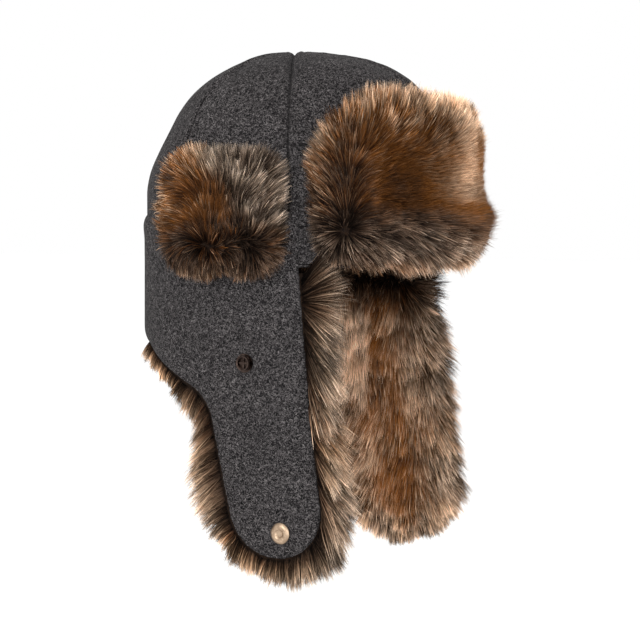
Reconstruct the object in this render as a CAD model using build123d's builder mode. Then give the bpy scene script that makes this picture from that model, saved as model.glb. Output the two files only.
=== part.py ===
from build123d import *
from math import atan2, cos, degrees, radians, sin
import os

# Trapper hat: six-gore wool crown, turned-up fur visor, side fur cuffs, hanging ear flaps and neck piece.
# Frame: millimetres, +Z up, the wearer faces -Y and the wearer's left is +X.
# The origin is the centre of the head opening, level with the brow edge of the crown.

# --- crown -------------------------------------------------------------------------------------
HALF_LENGTH = 104.0  # outer wool, centre to front or back
HALF_WIDTH = 88.0  # outer wool, centre to side
CROWN_HEIGHT = 139.0  # brow edge to the point where the gores meet
SHOULDER = 56.0  # the sides stand upright to here, then turn into the dome
DOME_FULLNESS = 0.61  # 0.55 would be a plain ellipse
SIDE_SEAM_ANGLE = 60.0  # seen from above, from the front seam and from the back seam
WOOL = 2.2
WADDING = 2.8
LINING = 0.9
LAYER_GAP = 0.1
LAP_SEAM_BOTTOM = 21.0  # side and back gores end here, lapped inside the neck piece
SWEATBAND_HEIGHT = 28.0
SWEATBAND = 1.0
BINDING_DEPTH = 2.4

# --- skirt: the neck piece and both ear flaps, cut from one tube of cloth ------------------------
SKIRT_EASE = 3.2  # the skirt stands this far outside the crown
SKIRT_WOOL = 2.4
SKIRT_TOP = 33.0
SKIRT_LEVELS = ((34, 2.0), (0, 2.1), (-60, 2.9), (-120, 4.0), (-215, 4.0))  # height, squareness
SKIRT_FRONT_POINTS = 12  # steps along the front half of each outline
FLAP_FRONT_TOP = (-50.0, 0.0)  # corners of the side view, as (y, z)
FLAP_FRONT_TIP = (-72.5, -187.0)
FLAP_REAR_TIP = (-9.0, -187.0)
NECK_EDGE_FRONT = (14.0, -87.0)
NECK_EDGE_BACK = (84.0, -55.0)
FLAP_FRONT_RADIUS = 30.0
FLAP_REAR_RADIUS = 34.0
FLAP_ROOT_RADIUS = 30.0
FOLD_POINT = (-53.0, -8.0)  # a point (y, z) of the ear flaps' fold line
FOLD_SLOPE = 25.0  # the fold line runs down towards the back
FOLD_GAP = 0.8

# --- fur: the pile counts as solid ---------------------------------------------------------------
LINING_FUR = 12.0
LINING_FUR_TOP = -4.5
FRINGE = 12.0  # pile past the edge of the wool
CLOTH_GAP = 0.3

# --- visor and side cuffs, with angles counted on the round crown before it is narrowed ------------
VISOR_BOTTOM = 2.0
VISOR_TOP = 92.0
VISOR_HALF_ARC = 55.0
VISOR_STANDOFF = 0.9
VISOR_CLOTH = 2.2
VISOR_STIFFENER = 1.2
VISOR_STIFFENER_MARGIN = 4.0  # short of the cloth's edge, all round
VISOR_FUR = 22.5
VISOR_CORNER = 28.0
VISOR_FUR_OVERHANG = 10.0
VISOR_FUR_DROP = 1.5
CUFF_FRONT_ARC = 21.0  # from straight sideways towards the front
CUFF_REAR_ARC = 20.0
CUFF_BOTTOM = 0.0
CUFF_TOP = 63.0
CUFF_STANDOFF = 5.6
CUFF_BEND = 1.0  # above the top of the neck piece, where the cuff starts to lean in to the crown
CUFF_TOP_STANDOFF = 0.8
CUFF_CLOTH = 1.6
CUFF_FUR = 16.0
CUFF_CORNER = 12.0
CUFF_FUR_OVERHANG = 8.0
CUFF_FUR_DROP = 3.0

# --- snap fasteners ------------------------------------------------------------------------------
TIP_SNAP = (-42.4, -170.0)  # (y, z) of the cap near the flap's tip
MID_SNAP = (-16.4, -63.0)  # (y, z) of the stud further up the flap
CAP_RADIUS = 6.75
CAP_HEIGHT = 2.4
CAP_CREST_RADIUS = 3.7
CAP_DISH_RADIUS = 2.2
CAP_DISH_DEPTH = 0.9
SHANK_RADIUS = 2.0
SOCKET_RADIUS = 6.0
SOCKET_HEIGHT = 3.4
SOCKET_MOUTH_RADIUS = 4.9
SOCKET_FLOOR = 0.9
STUD_FLANGE_RADIUS = 6.0
STUD_RADIUS = 5.0
STUD_BORE_RADIUS = 3.7
STUD_HEIGHT = 3.4
STUD_WAIST = 0.3  # narrower at the foot and at the end than at the bulge
STUD_BULGE_DROP = 0.9
STUD_LIP = 0.4
PLATE = 0.8
EYELET_FLANGE_RADIUS = 5.2
PETAL_WIDTH = 1.1
PLAY = 0.15
POCKET_PLAY = 1.5
HOLE_OVERCUT = 1.0
POCKET_OVERCUT = 5.0

FAR = 260.0
WIDTH_RATIO = HALF_WIDTH / HALF_LENGTH
WADDING_INSET = WOOL + LAYER_GAP
LINING_INSET = WADDING_INSET + WADDING + LAYER_GAP
SWEATBAND_INSET = LINING_INSET + LINING + LAYER_GAP
SIDES = {"left": 1, "right": -1}


def finish(part, label):
    """Labels one piece and writes its STEP file."""
    part.label = label
    export_step(part, f"parts/{label}.step")


def eccentric(angle):
    """The angle on the round crown that becomes this angle once the crown is narrowed to an oval."""
    return degrees(atan2(sin(radians(angle)), cos(radians(angle)) * WIDTH_RATIO))


def turned(angle):
    """The upright plane through the crown's axis, turned to this angle from +X."""
    a = radians(angle)
    return Plane(origin=(0, 0, 0), x_dir=(cos(a), sin(a), 0), z_dir=(sin(a), -cos(a), 0))


# --- crown -------------------------------------------------------------------------------------
def crown_curve(inset, bottom, upwards):
    """One face of a crown layer in section: the upright wall and the dome."""
    r = HALF_LENGTH - inset
    rise = CROWN_HEIGHT - SHOULDER - inset
    wall = [(r, bottom), (r, SHOULDER)]
    dome = [(r, SHOULDER), (r, SHOULDER + DOME_FULLNESS * rise)]
    dome += [(DOME_FULLNESS * r, SHOULDER + rise), (0, SHOULDER + rise)]
    if upwards:
        Line(*wall)
        Bezier(*dome)
    else:
        Bezier(*reversed(dome))
        Line(*reversed(wall))


def crown_layer(inset, thickness, start, arc, bottom):
    """One layer of the crown from one seam to the next, as a stretch of an oval dome."""
    r = HALF_LENGTH - inset
    top = CROWN_HEIGHT - inset
    with BuildPart() as layer:
        with BuildSketch(turned(start)):
            with BuildLine():
                crown_curve(inset, bottom, upwards=True)
                Line((0, top), (0, top - thickness))
                crown_curve(inset + thickness, bottom, upwards=False)
                Line((r - thickness, bottom), (r, bottom))
            make_face()
        revolve(axis=Axis.Z, revolution_arc=arc)
        scale(by=(WIDTH_RATIO, 1, 1))
    return layer.part


def facing(angle, height):
    """The upright plane square to the outward direction at this angle, its origin on the axis at this height."""
    a = radians(angle)
    return Plane(origin=(0, 0, height), x_dir=(-sin(a), cos(a), 0), z_dir=(cos(a), sin(a), 0))


def oval_band(section, start, arc, corner=0.0):
    """A band round the crown, its section given as (radius, height) points; corner rounds its top ends."""
    top = max(height for _, height in section)
    corner_arc = degrees(corner / HALF_LENGTH)
    with BuildPart() as band:
        with BuildSketch(turned(start)):
            with BuildLine():
                Polyline(*section, close=True)
            make_face()
        revolve(axis=Axis.Z, revolution_arc=arc)
        if corner:
            for angle, way in ((start + corner_arc, -1), (start + arc - corner_arc, 1)):
                with BuildSketch(facing(angle, top)):
                    with Locations((way * corner, 0)):
                        Rectangle(2 * corner, 2 * corner)
                    with Locations((0, -corner)):
                        Circle(corner, mode=Mode.SUBTRACT)
                extrude(amount=FAR, mode=Mode.SUBTRACT)
        scale(by=(WIDTH_RATIO, 1, 1))
    return band.part


def wall_section(inset, thickness, bottom, top):
    """Section of a plain upright band, inset from the crown's outer face."""
    r = HALF_LENGTH - inset
    return [(r, bottom), (r, top), (r - thickness, top), (r - thickness, bottom)]


def make_crown():
    """Six wool gores, the wadding under them, six lining gores, the sweatband and the brow binding."""
    seam = 90 - eccentric(SIDE_SEAM_ANGLE)
    gores = {
        "front_left": (-90, 90 - seam, 0),
        "side_left": (-seam, 2 * seam, LAP_SEAM_BOTTOM),
        "back_left": (seam, 90 - seam, LAP_SEAM_BOTTOM),
        "back_right": (90, 90 - seam, LAP_SEAM_BOTTOM),
        "side_right": (180 - seam, 2 * seam, LAP_SEAM_BOTTOM),
        "front_right": (180 + seam, 90 - seam, 0),
    }
    for place, (start, arc, bottom) in gores.items():
        finish(crown_layer(0, WOOL, start, arc, bottom), f"crown_gore_{place}")
        finish(crown_layer(LINING_INSET, LINING, start, arc, 0), f"lining_gore_{place}")
    finish(crown_layer(WADDING_INSET, WADDING, -90, 360, 0), "crown_wadding")
    finish(oval_band(wall_section(SWEATBAND_INSET, SWEATBAND, 0, SWEATBAND_HEIGHT), -90, 360), "sweatband")
    edge = wall_section(LAYER_GAP, SWEATBAND_INSET + SWEATBAND - LAYER_GAP, -BINDING_DEPTH, -LAYER_GAP)
    finish(oval_band(edge, 180 + seam, 180 - 2 * seam), "brow_binding")


# --- visor and side cuffs --------------------------------------------------------------------------
def visor_layer(standoff, thickness, grow, drop, label):
    """One layer of the turned-up visor: an upright curved panel with rounded top corners."""
    half_arc = VISOR_HALF_ARC + degrees(grow / HALF_LENGTH)
    section = wall_section(-standoff - thickness, thickness, VISOR_BOTTOM - drop, VISOR_TOP + grow)
    finish(oval_band(section, -90 - half_arc, 2 * half_arc, VISOR_CORNER), label)


def make_visor():
    """Wool backing, stiffener and fur face."""
    stiffener = VISOR_STANDOFF + VISOR_CLOTH + LAYER_GAP
    fur = stiffener + VISOR_STIFFENER + LAYER_GAP
    visor_layer(VISOR_STANDOFF, VISOR_CLOTH, 0, 0, "visor_backing")
    visor_layer(
        stiffener, VISOR_STIFFENER, -VISOR_STIFFENER_MARGIN, -VISOR_STIFFENER_MARGIN, "visor_stiffener"
    )
    visor_layer(fur, VISOR_FUR, VISOR_FUR_OVERHANG, VISOR_FUR_DROP, "visor_fur")


def cuff_layer(side, standoff, thickness, grow, drop, label):
    """One layer of a side cuff, which lies on the neck piece below and leans in to the crown above it."""
    inner = HALF_LENGTH + CUFF_STANDOFF + standoff
    lean = CUFF_STANDOFF - CUFF_TOP_STANDOFF
    bottom, top = CUFF_BOTTOM - drop, CUFF_TOP + grow
    section = [(inner, bottom), (inner, SKIRT_TOP + CUFF_BEND), (inner - lean, top)]
    section += [(r + thickness, z) for r, z in reversed(section)]
    front = CUFF_FRONT_ARC + degrees(grow / HALF_LENGTH)
    rear = CUFF_REAR_ARC + degrees(grow / HALF_LENGTH)
    start = -front if side > 0 else 180 - rear
    finish(oval_band(section, start, front + rear, CUFF_CORNER), label)


def make_side_cuffs():
    """Wool backing and fur face on each side."""
    for name, side in SIDES.items():
        cuff_layer(side, 0, CUFF_CLOTH, 0, 0, f"side_cuff_backing_{name}")
        fur = CUFF_CLOTH + LAYER_GAP
        cuff_layer(side, fur, CUFF_FUR, CUFF_FUR_OVERHANG, CUFF_FUR_DROP, f"side_cuff_fur_{name}")


# --- skirt -----------------------------------------------------------------------------------------
def squared_oval(inset, squareness):
    """Outline of the skirt at one height: an oval behind the ears, squarer in front of them."""
    a = HALF_LENGTH + SKIRT_EASE - inset
    b = HALF_WIDTH + SKIRT_EASE - inset
    front = []
    for step in range(1, SKIRT_FRONT_POINTS):
        angle = radians(180 + 180 * step / SKIRT_FRONT_POINTS)
        c, s = cos(angle), sin(angle)
        x = b * abs(c) ** (2 / squareness) * (1 if c > 0 else -1)
        front.append((x, -a * abs(s) ** (2 / squareness)))
    EllipticalCenterArc((0, 0), b, a, start_angle=0, arc_size=180)
    Spline((-b, 0), *front, (b, 0), tangents=((0, -1), (0, 1)))


def skirt_core(inset):
    """Everything inside the skirt's surface, inset from its outer face."""
    with BuildPart() as core:
        for height, squareness in SKIRT_LEVELS:
            with BuildSketch(Plane.XY.offset(height)):
                with BuildLine():
                    squared_oval(inset, squareness)
                make_face()
        loft()
    return core.part


def side_view(top, grow):
    """Side view of the neck piece and the ear flap together, with the wool's edge moved out by grow."""
    front_top = (FLAP_FRONT_TOP[0] - grow, FLAP_FRONT_TOP[1])
    front_tip = (FLAP_FRONT_TIP[0] - grow, FLAP_FRONT_TIP[1] - grow)
    rear_tip = (FLAP_REAR_TIP[0] + grow, FLAP_REAR_TIP[1] - grow)
    root = (NECK_EDGE_FRONT[0] + grow, NECK_EDGE_FRONT[1] - grow)
    neck = (NECK_EDGE_BACK[0], NECK_EDGE_BACK[1] - grow)
    back = (FAR, NECK_EDGE_BACK[1] - grow)
    outline = [(front_top[0], top), front_top, front_tip, rear_tip, root, neck, back, (back[0], top)]
    if top <= front_top[1]:
        outline.pop(1)
    rounded = {front_tip: FLAP_FRONT_RADIUS + grow, rear_tip: FLAP_REAR_RADIUS + grow}
    rounded[root] = FLAP_ROOT_RADIUS - grow
    with BuildSketch(Plane.YZ) as view:
        with BuildLine():
            Polyline(*outline, close=True)
        make_face()
        for corner, radius in rounded.items():
            fillet(view.vertices().sort_by_distance(corner)[0], radius)
    return view.sketch


def skirt_layer(inset, thickness, top, grow):
    """One layer of the whole skirt, round the back from one ear flap to the other."""
    outer, inner = skirt_core(inset), skirt_core(inset + thickness)
    outline = side_view(top, grow)
    with BuildPart() as layer:
        add(outer)
        add(inner, mode=Mode.SUBTRACT)
        extrude(outline, amount=FAR, both=True, mode=Mode.INTERSECT)
    return layer.part


def fold_plane(drop):
    """The plane that parts the ear flaps from the neck piece, along the fold line."""
    slope = radians(FOLD_SLOPE)
    y, z = FOLD_POINT
    return Plane(origin=(0, y, z - drop), x_dir=(1, 0, 0), z_dir=(0, sin(slope), cos(slope)))


def neck_part(layer):
    """What stays on the crown, above the fold."""
    with BuildPart() as neck:
        add(layer)
        split(bisect_by=fold_plane(0), keep=Keep.TOP)
    return neck.part


def flap_part(layer, side):
    """What swings with one ear flap, below the fold."""
    with BuildPart() as flap:
        add(layer)
        split(bisect_by=fold_plane(FOLD_GAP), keep=Keep.BOTTOM)
        split(bisect_by=Plane.YZ, keep=Keep.TOP if side > 0 else Keep.BOTTOM)
    return flap.part


# --- snap fasteners ----------------------------------------------------------------------------------
def snap_plane(side, x, spot):
    """Section plane of a snap: across is measured from its axis, up is away from the wool's outer face."""
    return Plane(origin=(x, spot[0], spot[1]), x_dir=(0, 1, 0), z_dir=(0, 0, -side))


def snap_axis(side, spot):
    """The line through a snap, out of the side of the flap."""
    return Axis((0, spot[0], spot[1]), (side, 0, 0))


def seat(shell, side, spot, radius):
    """The wool's outer and inner faces under a snap, as distances sideways from the centre."""
    with BuildPart() as probe:
        with BuildSketch(Plane.YZ):
            with Locations(spot):
                Circle(radius)
        extrude(amount=FAR * side)
        add(shell, mode=Mode.INTERSECT)
    box = probe.part.bounding_box()
    return (box.max.X, box.min.X) if side > 0 else (-box.min.X, -box.max.X)


def snap_piece(side, x, spot, section):
    """A turned piece of a snap, from its section of (across, up) points."""
    with BuildPart() as piece:
        with BuildSketch(snap_plane(side, x, spot)):
            with BuildLine():
                Polyline(*section, close=True)
            make_face()
        revolve(axis=snap_axis(side, spot))
    return piece.part


def tip_cap(side, x, spot, depth):
    """Domed cap with a dished centre, on a shank that goes through the wool."""
    rim = PLAY + PLATE
    dish = CAP_HEIGHT - CAP_DISH_DEPTH
    with BuildPart() as cap:
        with BuildSketch(snap_plane(side, x, spot)):
            with BuildLine():
                Line((0, dish), (CAP_DISH_RADIUS, dish))
                Spline((CAP_DISH_RADIUS, dish), (CAP_CREST_RADIUS, CAP_HEIGHT), (CAP_RADIUS, rim))
                Polyline((CAP_RADIUS, rim), (CAP_RADIUS, PLAY), (SHANK_RADIUS, PLAY), (SHANK_RADIUS, -depth))
                Polyline((SHANK_RADIUS, -depth), (0, -depth), (0, dish))
            make_face()
        revolve(axis=snap_axis(side, spot))
    return cap.part


def eyelet(side, x, spot, depth):
    """Flanged barrel from inside the flap, its end opened into four petals within the stud."""
    back, front = -depth - PLAY - PLATE, 2 * PLAY + PLATE
    section = [(0, back), (EYELET_FLANGE_RADIUS, back), (EYELET_FLANGE_RADIUS, back + PLATE)]
    section += [(SHANK_RADIUS, back + PLATE), (SHANK_RADIUS, front), (0, front)]
    petals = Plane(origin=(x + side * front, spot[0], spot[1]), x_dir=(0, 1, 0), z_dir=(side, 0, 0))
    with BuildPart() as piece:
        add(snap_piece(side, x, spot, section))
        with BuildSketch(petals):
            with PolarLocations(0, 2, angular_range=180):
                Rectangle(2 * (STUD_BORE_RADIUS - PLAY), PETAL_WIDTH)
        extrude(amount=PLATE)
    return piece.part


def pierced(flap, side, holes):
    """The flap's layer with round holes: each is (spot, radius, from, to), measured sideways."""
    with BuildPart() as piece:
        add(flap)
        for spot, radius, start, end in holes:
            with BuildSketch(Plane.YZ.offset(side * start)):
                with Locations(spot):
                    Circle(radius)
            extrude(amount=side * (end - start), mode=Mode.SUBTRACT)
    return piece.part


def make_ear_flap(name, side, wool, fur):
    """Wool shell, fur lining, and the two snaps of one ear flap."""
    shell = flap_part(wool, side)
    tip_out, tip_in = seat(shell, side, TIP_SNAP, CAP_RADIUS)
    mid_out, mid_in = seat(shell, side, MID_SNAP, STUD_FLANGE_RADIUS)
    hole = SHANK_RADIUS + PLAY
    holes = [(TIP_SNAP, hole, tip_in - HOLE_OVERCUT, tip_out + HOLE_OVERCUT)]
    holes.append((MID_SNAP, hole, mid_in - HOLE_OVERCUT, mid_out + HOLE_OVERCUT))
    finish(pierced(shell, side, holes), f"ear_flap_wool_{name}")

    pocket = EYELET_FLANGE_RADIUS + POCKET_PLAY
    through = tip_in - LINING_FUR - POCKET_OVERCUT
    pockets = [(TIP_SNAP, SOCKET_RADIUS + POCKET_PLAY, through, tip_out)]
    pockets.append((MID_SNAP, pocket, mid_in - 2 * PLATE - CLOTH_GAP, mid_out))
    finish(pierced(flap_part(fur, side), side, pockets), f"ear_flap_fur_{name}")

    back = tip_out - tip_in + PLAY
    floor = back + SOCKET_FLOOR
    socket = [(SHANK_RADIUS + PLAY, -back), (SOCKET_RADIUS, -back), (SOCKET_RADIUS, -back - SOCKET_HEIGHT)]
    socket += [(SOCKET_MOUTH_RADIUS, -back - SOCKET_HEIGHT), (SOCKET_MOUTH_RADIUS, -floor)]
    socket += [(SHANK_RADIUS + PLAY, -floor)]
    finish(tip_cap(side, side * tip_out, TIP_SNAP, floor + PLAY), f"tip_snap_cap_{name}")
    finish(snap_piece(side, side * tip_out, TIP_SNAP, socket), f"tip_snap_socket_{name}")

    top = PLAY + STUD_HEIGHT
    stud = [(SHANK_RADIUS + PLAY, PLAY), (STUD_FLANGE_RADIUS, PLAY), (STUD_FLANGE_RADIUS, PLAY + PLATE)]
    stud += [(STUD_RADIUS - STUD_WAIST, PLAY + PLATE), (STUD_RADIUS, top - STUD_BULGE_DROP)]
    stud += [(STUD_RADIUS - STUD_WAIST, top), (STUD_BORE_RADIUS + STUD_LIP, top)]
    stud += [(STUD_BORE_RADIUS, top - STUD_LIP)]
    stud += [(STUD_BORE_RADIUS, PLAY + PLATE), (SHANK_RADIUS + PLAY, PLAY + PLATE)]
    finish(snap_piece(side, side * mid_out, MID_SNAP, stud), f"mid_snap_stud_{name}")
    finish(eyelet(side, side * mid_out, MID_SNAP, mid_out - mid_in), f"mid_snap_eyelet_{name}")


def make_skirt():
    """The neck piece and both ear flaps, wool outside and fur inside."""
    wool = skirt_layer(0, SKIRT_WOOL, SKIRT_TOP, 0)
    fur = skirt_layer(SKIRT_WOOL + CLOTH_GAP, LINING_FUR, LINING_FUR_TOP, FRINGE)
    finish(neck_part(wool), "neck_wool")
    finish(neck_part(fur), "neck_fur")
    for name, side in SIDES.items():
        make_ear_flap(name, side, wool, fur)


os.makedirs("parts", exist_ok=True)
make_crown()
make_visor()
make_side_cuffs()
make_skirt()
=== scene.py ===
from itertools import product
from math import ceil, cos, pi, radians, sin, tan

import bmesh
import bpy
import numpy as np
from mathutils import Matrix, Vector


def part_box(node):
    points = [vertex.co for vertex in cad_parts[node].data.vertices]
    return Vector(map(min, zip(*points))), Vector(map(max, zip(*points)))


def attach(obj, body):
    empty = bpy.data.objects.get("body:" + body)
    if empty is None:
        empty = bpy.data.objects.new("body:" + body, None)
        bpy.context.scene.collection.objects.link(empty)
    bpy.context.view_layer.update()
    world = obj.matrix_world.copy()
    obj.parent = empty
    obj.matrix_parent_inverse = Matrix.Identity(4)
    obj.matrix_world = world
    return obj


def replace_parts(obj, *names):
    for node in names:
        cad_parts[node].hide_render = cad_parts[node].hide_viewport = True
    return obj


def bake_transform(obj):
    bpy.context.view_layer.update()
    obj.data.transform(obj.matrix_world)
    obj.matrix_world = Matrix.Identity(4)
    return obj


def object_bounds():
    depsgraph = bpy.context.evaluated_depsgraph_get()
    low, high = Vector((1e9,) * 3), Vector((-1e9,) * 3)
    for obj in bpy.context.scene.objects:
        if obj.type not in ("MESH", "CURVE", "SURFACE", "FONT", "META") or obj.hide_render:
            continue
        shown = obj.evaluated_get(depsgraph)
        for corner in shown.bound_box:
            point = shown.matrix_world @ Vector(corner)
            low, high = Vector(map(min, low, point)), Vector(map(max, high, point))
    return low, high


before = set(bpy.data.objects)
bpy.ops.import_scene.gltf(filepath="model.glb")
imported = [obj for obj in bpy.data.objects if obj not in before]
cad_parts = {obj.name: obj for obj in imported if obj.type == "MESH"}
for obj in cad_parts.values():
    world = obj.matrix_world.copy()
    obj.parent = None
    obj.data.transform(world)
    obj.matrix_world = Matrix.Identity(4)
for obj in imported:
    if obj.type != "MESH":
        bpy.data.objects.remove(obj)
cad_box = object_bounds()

MM = 0.001
SIDES = {"left": 1, "right": -1}

# --- driving dimensions, as in the CAD model ---
HALF_LENGTH = -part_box("crown_gore_front_left")[0][1]
HALF_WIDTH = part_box("crown_gore_side_left")[1][0]
CROWN_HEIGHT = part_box("crown_gore_side_left")[1][2]
WIDTH_RATIO = HALF_WIDTH / HALF_LENGTH
SHOULDER = 56 * MM  # the crown's sides stand upright to here
DOME_FULLNESS = 0.61
SIDE_SEAM_ANGLE = radians(62.5)  # from the front seam and from the back seam, seen from above
LINING_INSET = 5.3 * MM
SWEATBAND_INSET = 6.3 * MM

SKIRT_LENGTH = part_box("neck_wool")[1][1]
SKIRT_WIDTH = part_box("neck_wool")[1][0]
SKIRT_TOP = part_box("neck_wool")[1][2]
SKIRT_LEVELS = ((-215, 4.0), (-120, 4.0), (-60, 2.9), (0, 2.1), (34, 2.0))  # height in mm, squareness
FOLD_POINT = np.array((0, -53, -8)) * MM
FOLD_UP = np.array((0, sin(radians(25)), cos(radians(25))))  # square to the ear flaps' fold line
BEND_ABOVE, BEND_BELOW = 15 * MM, 24 * MM  # the cloth bends over this stretch of the fold
TIP_SNAP = np.array((-42.4, -170)) * MM
MID_SNAP = np.array((-16.4, -63)) * MM


# --- small maths ---
def unit(v):
    return v / np.maximum(np.linalg.norm(v, axis=-1, keepdims=True), 1e-12)


def smooth(t):
    t = np.clip(t, 0, 1)
    return t * t * (3 - 2 * t)


def over(x, start, run):
    """0 up to start, then smoothly up to 1 over this run; a negative run goes down from start."""
    return smooth((x - start) / run)


def bell(x, middle, width):
    """1 at the middle, falling off on both sides over this width."""
    return np.exp(-(((x - middle) / width) ** 2))


def lattice(cell, seed):
    """A repeatable number from -1 to 1 for each whole-number point."""
    n = cell[..., 0] * 374761393 + cell[..., 1] * 668265263 + cell[..., 2] * 1442695041 + seed * 974634777
    n = (n ^ (n >> 13)) * 1274126177
    n = n ^ (n >> 16)
    return (n & 0xFFFF) / 32767.5 - 1


def noise(points, size, seed):
    """Smooth noise from -1 to 1 with lumps of this size."""
    q = points / size
    base = np.floor(q).astype(np.int64)
    f = smooth(q - base)
    total = np.zeros(points.shape[:-1])
    for corner in product((0, 1), repeat=3):
        weight = np.prod(np.where(np.array(corner), f, 1 - f), axis=-1)
        total += weight * lattice(base + np.array(corner), seed)
    return total


def noise2(a, b, size, seed):
    """Smooth noise over a plane."""
    return noise(np.stack((a, b, np.full_like(a, 0.37 * size)), axis=-1), size, seed)


def noise3(points, size, seed):
    """Smooth noise for each of three directions."""
    return np.stack([noise(points, size, seed + k) for k in range(3)], axis=-1)


# --- meshes ---
def new_object(name, data):
    obj = bpy.data.objects.new(name, data)
    bpy.context.scene.collection.objects.link(obj)
    return obj


def mesh_object(name, points, faces, attributes=(), uv=None):
    """An object from points and a list of face arrays, each array with one number of corners."""
    mesh = bpy.data.meshes.new(name)
    corners = np.concatenate([f.ravel() for f in faces]).astype(np.int32)
    sizes = np.concatenate([np.full(len(f), f.shape[1]) for f in faces]).astype(np.int32)
    mesh.vertices.add(len(points))
    mesh.vertices.foreach_set("co", points.astype(np.float32).ravel())
    mesh.loops.add(len(corners))
    mesh.loops.foreach_set("vertex_index", corners)
    mesh.polygons.add(len(sizes))
    mesh.polygons.foreach_set("loop_start", np.concatenate(([0], np.cumsum(sizes)[:-1])).astype(np.int32))
    mesh.update(calc_edges=True)
    mesh.shade_smooth()
    for label, values in attributes:
        layer = mesh.attributes.new(label, "FLOAT", "POINT")
        layer.data.foreach_set("value", values.astype(np.float32))
    if uv is not None:
        layer = mesh.uv_layers.new(name="OFBake")
        layer.data.foreach_set("uv", uv[corners].astype(np.float32).ravel())
    return new_object(name, mesh)


def grid_faces(rows, columns, wrap=False):
    """Quads of a grid of points, row by row."""
    i = np.arange(rows - 1)[:, None] * columns
    j = np.arange(columns if wrap else columns - 1)[None, :]
    k = (j + 1) % columns
    return np.stack((i + j, i + k, i + columns + k, i + columns + j), axis=-1).reshape(-1, 4)


def mend(obj, weld=False, close=False, crisp=False):
    """Joins touching points, closes holes and makes their edges crisp, as asked; turns faces outwards."""
    work = bmesh.new()
    work.from_mesh(obj.data)
    if weld:
        bmesh.ops.remove_doubles(work, verts=work.verts, dist=0.01 * MM)
    if close:
        open_edges = [edge for edge in work.edges if edge.is_boundary]
        for edge in open_edges:
            edge.smooth = edge.smooth and not crisp
        bmesh.ops.holes_fill(work, edges=open_edges)
    bmesh.ops.recalc_face_normals(work, faces=work.faces)
    work.to_mesh(obj.data)
    work.free()
    return obj


def shell_object(name, outer, inner, attributes=()):
    """A closed shell from two grids of points of the same shape, front and back."""
    rows, columns = outer.shape[:2]
    count = rows * columns
    front = grid_faces(rows, columns)
    rim = np.concatenate((
        np.arange(columns - 1),
        np.arange(rows - 1) * columns + columns - 1,
        (rows - 1) * columns + np.arange(columns - 1, 0, -1),
        np.arange(rows - 1, 0, -1) * columns,
    ))
    ahead = np.roll(rim, -1)
    side = np.stack((ahead, rim, rim + count, ahead + count), axis=1)
    points = np.concatenate((outer.reshape(-1, 3), inner.reshape(-1, 3)))
    return mend(mesh_object(name, points, [front, front[:, ::-1] + count, side], attributes), weld=True)


def plate(outline, thickness, voxel):
    """A flat plate in (across, up, depth) space, cut to an outline and remeshed into even faces."""
    work = bmesh.new()
    low = [work.verts.new((a, b, 0)) for a, b in outline]
    high = [work.verts.new((a, b, thickness)) for a, b in outline]
    work.faces.new(low)
    work.faces.new(high[::-1])
    for i in range(len(low)):
        j = (i + 1) % len(low)
        work.faces.new((low[i], high[i], high[j], low[j]))
    bmesh.ops.recalc_face_normals(work, faces=work.faces)
    bmesh.ops.triangulate(work, faces=work.faces)
    rough = bpy.data.meshes.new("plate")
    work.to_mesh(rough)
    work.free()
    obj = new_object("plate", rough)
    remesh = obj.modifiers.new("even", "REMESH")
    remesh.mode = "VOXEL"
    remesh.voxel_size = voxel
    even = bpy.data.meshes.new_from_object(obj.evaluated_get(bpy.context.evaluated_depsgraph_get()))
    points = np.empty(3 * len(even.vertices), np.float32)
    even.vertices.foreach_get("co", points)
    corners = np.empty(len(even.loops), np.int32)
    even.loops.foreach_get("vertex_index", corners)
    sizes = np.empty(len(even.polygons), np.int32)
    even.polygons.foreach_get("loop_total", sizes)
    starts = np.concatenate(([0], np.cumsum(sizes)[:-1]))
    faces = [corners[starts[sizes == n][:, None] + np.arange(n)] for n in (3, 4) if (sizes == n).any()]
    bpy.data.objects.remove(obj)
    bpy.data.meshes.remove(rough)
    bpy.data.meshes.remove(even)
    return points.reshape(-1, 3).astype(float), faces


# --- outlines ---
AT_ONCE = 20000  # points measured at a time, to spare memory


def rounded(corners, radii, steps=10):
    """A closed outline with its corners turned into arcs of these radii."""
    corners = np.array(corners, float)
    outline = []
    for i, radius in enumerate(radii):
        here = corners[i]
        back, ahead = unit(corners[i - 1] - here), unit(corners[(i + 1) % len(corners)] - here)
        if radius <= 0:
            outline.append(here)
            continue
        half = np.arccos(np.clip(back @ ahead, -1, 1)) / 2
        centre = here + unit(back + ahead) * radius / sin(half)
        start = here + back * radius / tan(half) - centre
        end = here + ahead * radius / tan(half) - centre
        sweep = pi - 2 * half
        for t in np.linspace(0, 1, steps):
            outline.append(centre + (start * sin((1 - t) * sweep) + end * sin(t * sweep)) / sin(sweep))
    return np.array(outline)


def nearest_edge(points, outline):
    """Distance from each point to the outline, and the unit direction to the nearest spot on it."""
    run = np.roll(outline, -1, axis=0) - outline
    distance, direction = np.empty(len(points)), np.empty((len(points), 2))
    for first in range(0, len(points), AT_ONCE):
        part = points[first:first + AT_ONCE]
        t = ((part[:, None] - outline) * run).sum(2) / (run ** 2).sum(1)
        gap = outline + run * np.clip(t, 0, 1)[..., None] - part[:, None]
        squared = (gap ** 2).sum(2)
        best = squared.argmin(1)
        rows = np.arange(len(part))
        distance[first:first + AT_ONCE] = np.sqrt(squared[rows, best])
        direction[first:first + AT_ONCE] = unit(gap[rows, best])
    return distance, direction


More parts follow.
